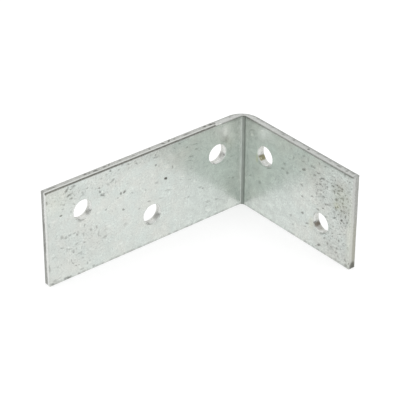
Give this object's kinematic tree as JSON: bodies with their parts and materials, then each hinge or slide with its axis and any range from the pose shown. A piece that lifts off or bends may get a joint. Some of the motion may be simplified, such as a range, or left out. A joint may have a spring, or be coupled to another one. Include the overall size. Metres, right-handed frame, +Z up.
{
  "type": "connecting bracket",
  "caption": "Folded sheet steel angle bracket with unequal legs, a thinned right-angle fold and staggered round screw holes in both legs.",
  "frame": {"origin": "outside corner of the fold, where the planes of the two outer faces meet, at the lower sheared edge", "axes": "+X along the long leg, +Y along the short leg, +Z up across the strip; the outer faces look to -Y and -X"},
  "size_m": [0.06, 0.04, 0.025],
  "materials": {
    "galvanised_steel": "satin zinc coating, faintly mottled, with sheared bare edges"
  },
  "bodies": {
    "root": {"bracket": "galvanised_steel"}
  },
  "joints": []
}
